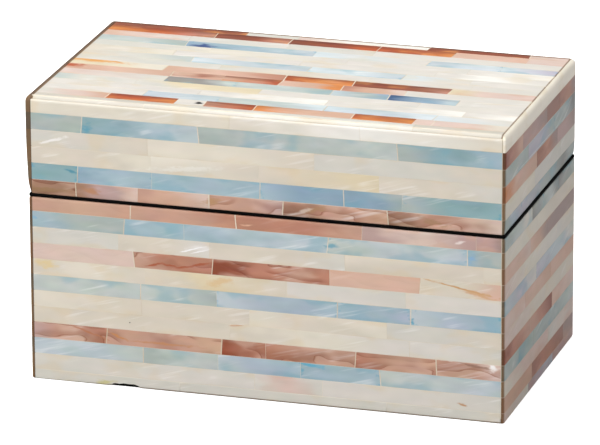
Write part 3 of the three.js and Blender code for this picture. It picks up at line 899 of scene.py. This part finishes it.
def cutting_list_object(name, table):
    """A point for each strip, with what the node tree and the shader need to know of it."""
    mesh = bpy.data.meshes.new(name)
    mesh.from_pydata([(0.0, 0.0, 0.0)] * len(table), [], [])
    for label in ("middle", "half", "slant"):
        store_attribute(mesh, label, "FLOAT_VECTOR", [(*strip[label], 0.0) for strip in table])
    for label, kind in (("figure", "FLOAT_VECTOR"), *((tint, "FLOAT_COLOR") for tint in TINTS),
                        ("seed", "FLOAT"), ("row", "FLOAT"), ("fine", "INT")):
        store_attribute(mesh, label, kind, [strip[label] for strip in table])
    thing = bpy.data.objects.new(name, mesh)
    bpy.context.scene.collection.objects.link(thing)
    return thing


def read_attribute(mesh, name, width):
    """What a mesh's points store under a name: a number each, or a vector where the width is 3."""
    data = mesh.attributes[name].data
    values = np.empty(len(data) * width, dtype=np.float32)
    data.foreach_get("vector" if width == 3 else "value", values)
    return values.reshape(-1, width) if width > 1 else values


def cut_chip(mesh):
    """Breaks the chip out of the front's lowest row: its lower edge is split and lifted to a ragged line."""
    start, end, high = CHIP
    work = bmesh.new()
    work.from_mesh(mesh)
    near = [face for face in work.faces if all(v.co.z < 3 * high for v in face.verts)]
    shares = [share for share, _ in CHIP_LINE]
    heights = [high * share for _, share in CHIP_LINE]
    for share in shares:
        x = LEFT_X + start + share * (end - start)
        parts = near + list({edge for face in near for edge in face.edges})
        parts += list({vertex for face in near for vertex in face.verts})
        cut = bmesh.ops.bisect_plane(work, geom=parts, dist=1e-7, plane_co=(x, 0, 0), plane_no=(1, 0, 0))
        near = [part for part in cut["geom"] if isinstance(part, bmesh.types.BMFace)]
    for vertex in {vertex for face in near for vertex in face.verts}:
        share = (vertex.co.x - LEFT_X - start) / (end - start)
        if -1e-4 < share < 1 + 1e-4:
            vertex.co.z = max(vertex.co.z, np.interp(share, shares, heights))
    bmesh.ops.remove_doubles(work, verts=work.verts, dist=2e-7)
    work.to_mesh(mesh)
    work.free()


# What the blanks and the cutting lists store for the building alone
SPARE = ("middle", "half", "slant", "seed", "row", "fine", "corner", "inward", "depth", "lift", "lean")


def sheet_number(kind, lid, row):
    """A row's number among the rows of all faces, far apart, so that no mark reaches into another row."""
    return (FACES.index((kind, lid)) * 100 + row) * 1000


def edge_band(distance, width, fade):
    """A band along an edge, its sizes in millimetres: 1 at the edge, and fading to 0 at its full width."""
    return np.clip((width - distance / MM) / fade, 0, 1)


def sawn_edges_and_shade(mesh, face, u, v, on_board):
    """How dark and brown each vertex is made, from 0 to 1: the sawn edge of the shell, and painted shade
    along left edges that turn from the light and along the foot of the base's front.
    """
    start, end = face_limits(face)
    rim = np.where(on_board, 1.0, 0.0)
    # Dark brown over the rounded upright corners at both ends of a side: the sawn edge of the shell, and on
    # the left side painted shade where the corner turns from the light
    if face.ends_round:
        rim = np.maximum(rim, edge_band(np.minimum(u, DEPTH - u), 1.215, 0.9))
    if face.kind == "right" and face.lid:
        # The ends of the top row stay pale
        rim = np.where((read_attribute(mesh, "row", 1) < 0.5) & ~on_board, 0.0, rim)
    # Dark brown along the head of the lid's left side: its sawn edge, with painted shade where the edge
    # rounds over away from the light
    if face.kind == "left" and face.lid:
        rim = np.maximum(rim, edge_band(TOP_Z - v, 2.5, 1.0))
    # Along the ends of the top: a thin dark joint on the right, and on the left the sawn edge with painted
    # shade
    if face.kind == "top":
        rim = np.maximum(rim, edge_band(end - u, 0.75, 0.5))
        rim = np.maximum(rim, edge_band(u - start, 1.35, 0.5))
    # Painted shade along the foot of the base's front, right of the chip
    if face.kind == "front" and not face.lid:
        rim = np.maximum(rim, 0.8 * edge_band(v, 1.2, 0.4) * (u > CHIP[1]))
    return rim


def dress_face(name, face, rows, levels, nodes, seed):
    """Builds the strips of one face as a single piece and puts it in the place of the frame's solids."""
    scene = bpy.context.scene
    facing = scene.shellbox_facing
    table = strip_table(face, rows, levels, scene.shellbox_shells, facing, seed)
    source = cutting_list_object(f"{name}_cutting_list", table)
    modifier = source.modifiers.new("strips", "NODES")
    modifier.node_group = bpy.data.node_groups.get("shell strips") or strip_tree()
    blanks = bpy.data.collections.get("strip blanks") or strip_blanks(facing)
    material = bpy.data.materials.get("lacquered mother-of-pearl") or nacre_material()
    for label, value in (("Blanks", blanks), ("Ripple", facing.ripple), ("Tilt", facing.tilt),
                         ("Bevel", facing.bevel), ("Seed", seed), ("Material", material)):
        set_input(modifier, label, value)
    graph = bpy.context.evaluated_depsgraph_get()
    mesh = bpy.data.meshes.new_from_object(source.evaluated_get(graph), preserve_all_data_layers=True,
                                           depsgraph=graph)
    bpy.data.objects.remove(source)

    flat = np.empty(len(mesh.vertices) * 3)
    mesh.vertices.foreach_get("co", flat)
    u, v, height = flat.reshape(-1, 3).T
    middle = read_attribute(mesh, "middle", 3)
    half = read_attribute(mesh, "half", 3)
    seeds = read_attribute(mesh, "seed", 1)
    u = np.clip(u, *face_limits(face))
    v = np.clip(v, min(low for low, _ in levels), max(high for _, high in levels))
    surface = face.place(u, v, np.zeros(len(u)))
    board = face.place(u, v, np.ones(len(u)))
    span = np.linalg.norm(board - surface, axis=1)
    outward = (surface - board) / np.maximum(span, 1e-9)[:, None]
    top = surface + outward * np.clip(height, -DEEPEST, 0.0)[:, None]
    on_board = read_attribute(mesh, "depth", 1) > ON_EDGE
    placed = np.where(on_board[:, None], board, top)
    mesh.vertices.foreach_set("co", placed.ravel())

    # Where a vertex lies on its own strip and on its face, in millimetres, for the material
    along = [(u - middle[:, 0]) / MM + seeds * 7.3, (v - middle[:, 1]) / MM + seeds * 3.1, seeds]
    share = (u - middle[:, 0]) / (2 * half[:, 0]) + 0.5
    across = (v - middle[:, 1]) / half[:, 1]
    number = sheet_number(face.kind, face.lid, read_attribute(mesh, "row", 1))
    sheet = [u / MM, (v - FRONT_Y if face.kind == "top" else v) / MM, number]
    for label, parts in (("along", along), ("place", [share, across, sawn_edges_and_shade(mesh, face, u, v, on_board)]),
                         ("sheet", sheet)):
        store_attribute(mesh, label, "FLOAT_VECTOR", np.stack(parts, axis=1))
    for spare in SPARE:
        if spare in mesh.attributes:
            mesh.attributes.remove(mesh.attributes[spare])
    if face.kind == "front" and not face.lid:
        cut_chip(mesh)
    mesh.shade_smooth()
    mesh.set_sharp_from_angle(angle=SHARP_STRIP)
    mesh.update()
    mesh.name = name
    piece = bpy.data.objects.new(name, mesh)
    scene.collection.objects.link(piece)
    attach(piece, BODY)
    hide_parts(*nodes)


def dress_visible(prefix, kind, lid, lines, seed):
    """Faces a side that shows, from its cutting list."""
    nodes = row_nodes(prefix, len(lines))
    rows = [parse_row(line) for line in lines]
    levels = visible_levels(prefix, len(lines))
    dress_face(f"{prefix}_shell_strips", Face(kind, lid), rows, levels, nodes, seed)


def dress_hidden(prefix, kind, lid, kinds, levels, seed):
    """Faces a side out of view, with plain rows of each kind."""
    face = Face(kind, lid)
    rows = [plain_row(shell, row, face.span) for row, shell in enumerate(kinds)]
    dress_face(f"{prefix}_shell_strips", face, rows, levels, [f"{prefix}_strips"], seed)


# Steps round each upright edge of the filler
CORNER_STEPS = 4


def filler_ring(z, lid, sink):
    """A level of the filler's outer surface: the corners of a rounded rectangle."""
    inset = float(level_inset(np.array(z), lid)) + sink
    left = right = inset
    if lid:
        left += float(lid_end(np.array(z - SEAM_Z), LEFT_BOW, LEFT_EASE))
        right += float(lid_end(np.array(z - SEAM_Z), RIGHT_BOW, RIGHT_EASE))
    radius = UPRIGHT_RADIUS
    right, back = RIGHT_X - right - radius, BACK_Y - inset - radius
    left, front = LEFT_X + left + radius, FRONT_Y + inset + radius
    points = []
    for turn, (x, y) in enumerate(((right, back), (left, back), (left, front), (right, front))):
        for step in range(CORNER_STEPS + 1):
            bearing = (turn + step / CORNER_STEPS) * math.pi / 2
            points.append((x + radius * math.cos(bearing), y + radius * math.sin(bearing), z))
    return points


def board_ring(z):
    """The same number of points on the board's own outline."""
    (left, front, _), (right, back, _) = LID_LOW, LID_HIGH
    corners = ((right, back), (left, back), (left, front), (right, front))
    return [(x, y, z) for x, y in corners for _ in range(CORNER_STEPS + 1)]


def filler_piece(name, lid, material, sink):
    """The filler under and between the strips: a skin from the board to just below the shell's surface."""
    if lid:
        foot = [SEAM_Z + FOOT_RADIUS * (1 - math.sin(a)) for a in (1.5, 1.0, 0.5, 0.0)]
        straight = TOP_Z - SEAM_Z - LID_TOP_RADIUS - FOOT_RADIUS
        body = [SEAM_Z + FOOT_RADIUS + straight * step / 12 for step in range(1, 13)]
        turns = (0.2, 0.4, 0.6, 0.8, 1.0, 1.2, 1.35, 1.5)
        levels = foot + body + [TOP_Z - LID_TOP_RADIUS * (1 - math.sin(a)) - sink for a in turns]
    else:
        # It starts above the chip, which bares the black board
        head = [BASE_TOP_Z - FOOT_RADIUS * (1 - math.sin(a)) for a in (0.0, 0.5, 1.0, 1.5)]
        levels = [2.9 * MM, 3.6 * MM] + head
    inner_top = TOP_Z - SHELL if lid else levels[-1]
    rings = [board_ring(levels[0]), *(filler_ring(z, lid, sink) for z in levels), board_ring(inner_top)]
    points = [point for ring in rings for point in ring]
    count = len(rings[0])
    last = len(points) - count
    # Rings joined in turn. The lid's outer skin ends in a flat top, and the inner one in a flat of its own.
    joined = range(0, last - count if lid else last, count)
    faces = []
    for i in range(count):
        following = (i + 1) % count
        faces += [(a + i, a + following, a + count + following, a + count + i) for a in joined]
        faces.append((i, last + i, last + following, following))
    if lid:
        faces.append(tuple(range(last - count, last)))
        faces.append(tuple(reversed(range(last, last + count))))
    mesh = bpy.data.meshes.new(name)
    mesh.from_pydata(points, [], faces)
    tidy_mesh(mesh)
    mesh.shade_smooth()
    mesh.set_sharp_from_angle(angle=SHARP_FILLER)
    mesh.materials.append(material)
    piece = bpy.data.objects.new(name, mesh)
    bpy.context.scene.collection.objects.link(piece)
    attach(piece, BODY)


def tidy_mesh(mesh):
    """Merges doubled points and turns every face outwards."""
    work = bmesh.new()
    work.from_mesh(mesh)
    bmesh.ops.remove_doubles(work, verts=work.verts, dist=1e-7)
    bmesh.ops.recalc_face_normals(work, faces=work.faces)
    work.to_mesh(mesh)
    work.free()


class SHELLBOX_OT_paint_wood(bpy.types.Operator):
    """Gives the wooden base and lid their black paint"""

    bl_idname = "shellbox.paint_wood"
    bl_label = "Paint the wood"

    def execute(self, context):
        material = paint_material()
        for node in ("base_carcase", "lid_carcase"):
            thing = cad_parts[node]
            if not thing.material_slots:
                thing.data.materials.append(material)
            for slot in thing.material_slots:
                slot.material = material
        return {"FINISHED"}


class SHELLBOX_OT_fill_joints(bpy.types.Operator):
    """Lays the pale filler that the strips are bedded in"""

    bl_idname = "shellbox.fill_joints"
    bl_label = "Fill the joints"

    def execute(self, context):
        facing = context.scene.shellbox_facing
        material = filler_material(facing.filler)
        sink = facing.sink + facing.ripple
        filler_piece("lid_filler", True, material, sink)
        filler_piece("base_filler", False, material, sink)
        return {"FINISHED"}


class SHELLBOX_OT_face_lid(bpy.types.Operator):
    """Faces the lid with its rows of strips"""

    bl_idname = "shellbox.face_lid"
    bl_label = "Face the lid"

    def execute(self, context):
        dress_visible("lid_top", "top", True, TOP_ROWS, 11)
        dress_visible("lid_front", "front", True, LID_FRONT_ROWS, 12)
        dress_visible("lid_right", "right", True, LID_RIGHT_ROWS, 13)
        front = visible_levels("lid_front", len(LID_FRONT_ROWS))
        right = visible_levels("lid_right", len(LID_RIGHT_ROWS))
        dress_hidden("lid_back", "back", True, PLAIN_LID, front, 14)
        dress_hidden("lid_left", "left", True, PLAIN_LID, right, 15)
        return {"FINISHED"}


class SHELLBOX_OT_face_base(bpy.types.Operator):
    """Faces the base with its rows of strips"""

    bl_idname = "shellbox.face_base"
    bl_label = "Face the base"

    def execute(self, context):
        dress_visible("base_front", "front", False, BASE_FRONT_ROWS, 21)
        dress_visible("base_right", "right", False, BASE_RIGHT_ROWS, 22)
        levels = visible_levels("base_front", len(BASE_FRONT_ROWS))
        dress_hidden("base_back", "back", False, PLAIN_BASE, levels, 23)
        dress_hidden("base_left", "left", False, PLAIN_BASE, levels, 24)
        return {"FINISHED"}


# Softboxes: place, what they face, width, height, watts and colour
LIGHTS = {
    "softbox above": ((-0.4, 0.1, 2.2), (0.0, 0.0, 0.1), 3.4, 3.0, 73.0, (0.95, 0.98, 1.0)),
    "softbox front left": ((-0.8, -2.0, 0.8), (0.0, 0.0, 0.08), 1.2, 1.2, 29.0, (1.0, 1.0, 1.0)),
    "fill from the right": ((2.2, -0.4, 0.7), (0.0, 0.0, 0.08), 1.0, 1.0, 12.4, (1.0, 0.97, 0.95)),
}
# Half of the floor's side
FLOOR_REACH = 12.0
# What the camera looks at, and how wide its sensor is in millimetres
CAMERA_TARGET = Vector(((LEFT_X + RIGHT_X) / 2 - 2.4 * MM, 0.0, 73.2 * MM))
SENSOR_WIDTH = 36.0


def area_light(name, place, aim, width, height, power, tint):
    data = bpy.data.lights.new(name, "AREA")
    data.shape = "RECTANGLE"
    data.size = width
    data.size_y = height
    data.energy = power
    data.color = tint
    lamp = bpy.data.objects.new(name, data)
    lamp.location = place
    lamp.rotation_euler = (Vector(aim) - Vector(place)).to_track_quat("-Z", "Y").to_euler()
    bpy.context.scene.collection.objects.link(lamp)


class SHELLBOX_OT_set_stage(bpy.types.Operator):
    """Sets the floor, the studio light and the camera"""

    bl_idname = "shellbox.set_stage"
    bl_label = "Set the stage"

    def execute(self, context):
        scene = context.scene
        stage = scene.shellbox_stage
        mesh = bpy.data.meshes.new("floor")
        corners = [(x * FLOOR_REACH, y * FLOOR_REACH, 0) for x, y in ((-1, -1), (1, -1), (1, 1), (-1, 1))]
        mesh.from_pydata(corners, [], [(0, 1, 2, 3)])
        floor = bpy.data.objects.new("floor", mesh)
        scene.collection.objects.link(floor)
        material, add = new_material("white paper floor")
        # Overexposed to the camera, as paper is in a catalogue picture, and a mid grey to everything else
        seen = add("ShaderNodeLightPath").outputs["Is Camera Ray"]
        paper = add(PRINCIPLED, {
            "Base Color": layered(add, (0.3, 0.3, 0.31, 1.0), ("MIX", seen, tuple(stage.floor))),
            "Roughness": 0.9,
            "Emission Color": (1.0, 1.0, 1.0, 1.0),
            "Emission Strength": add(MATHS, seen, 0.7, **TIMES),
        })
        add(SURFACE, paper)
        mesh.materials.append(material)

        world = bpy.data.worlds.new("studio")
        world.use_nodes = True
        world.node_tree.nodes.clear()
        add = partial(add_node, world.node_tree)
        x, y, z = add(SPLIT, add(COORDINATES).outputs["Generated"]).outputs
        # It dims towards the right, towards the back and below
        power = add(RANGE, x, -0.2, 0.75, 1.0, 0.7, **SMOOTH)
        power = add(MATHS, power, add(RANGE, z, -0.05, 0.5, 0.35, 1.0, **SMOOTH), **TIMES)
        power = add(MATHS, power, add(RANGE, y, 0.0, 0.9, 0.4, 0.3, **SMOOTH), **TIMES)
        sky = add("ShaderNodeBackground", {"Color": (1.0, 1.0, 1.0, 1.0), "Strength": power})
        add("ShaderNodeOutputWorld", sky)
        scene.world = world

        for name, light in LIGHTS.items():
            area_light(name, *light)

        turn, rise = stage.camera_azimuth, stage.camera_elevation
        back = Vector((math.sin(turn) * math.cos(rise), -math.cos(turn) * math.cos(rise), math.sin(rise)))
        data = bpy.data.cameras.new("camera")
        data.lens = stage.lens
        data.sensor_width = SENSOR_WIDTH
        data.clip_end = 50.0
        camera = bpy.data.objects.new("camera", data)
        rotation = back.to_track_quat("Z", "Y").to_matrix().to_4x4()
        place = Matrix.Translation(CAMERA_TARGET + back * stage.camera_distance)
        camera.matrix_world = place @ rotation @ Matrix.Rotation(stage.camera_roll, 4, "Z")
        scene.collection.objects.link(camera)
        scene.camera = camera
        scene.view_settings.view_transform = "Standard"
        return {"FINISHED"}


class SHELLBOX_PT_sidebar(bpy.types.Panel):
    """The sizes and the steps of the shell box"""

    bl_idname = "SHELLBOX_PT_sidebar"
    bl_label = "Shell Box"
    bl_space_type = "VIEW_3D"
    bl_region_type = "UI"
    bl_category = "Shell Box"

    def draw(self, context):
        layout = self.layout
        scene = context.scene
        for group in (scene.shellbox_facing, scene.shellbox_shells, scene.shellbox_stage):
            column = layout.column()
            for name in group.__annotations__:
                column.prop(group, name)
        for operator in OPERATORS:
            layout.operator(operator.bl_idname)


OPERATORS = (SHELLBOX_OT_paint_wood, SHELLBOX_OT_fill_joints, SHELLBOX_OT_face_lid, SHELLBOX_OT_face_base,
             SHELLBOX_OT_set_stage)
GROUPS = (SHELLBOX_PG_facing, SHELLBOX_PG_shells, SHELLBOX_PG_stage)


def register():
    for item in GROUPS + OPERATORS + (SHELLBOX_PT_sidebar,):
        bpy.utils.register_class(item)
    bpy.types.Scene.shellbox_facing = PointerProperty(type=SHELLBOX_PG_facing)
    bpy.types.Scene.shellbox_shells = PointerProperty(type=SHELLBOX_PG_shells)
    bpy.types.Scene.shellbox_stage = PointerProperty(type=SHELLBOX_PG_stage)


def unregister():
    del bpy.types.Scene.shellbox_stage
    del bpy.types.Scene.shellbox_shells
    del bpy.types.Scene.shellbox_facing
    for item in reversed(GROUPS + OPERATORS + (SHELLBOX_PT_sidebar,)):
        bpy.utils.unregister_class(item)


def main():
    register()
    bpy.ops.shellbox.paint_wood()
    bpy.ops.shellbox.fill_joints()
    bpy.ops.shellbox.face_lid()
    bpy.ops.shellbox.face_base()
    bpy.ops.shellbox.set_stage()


if __name__ == "__main__":
    main()
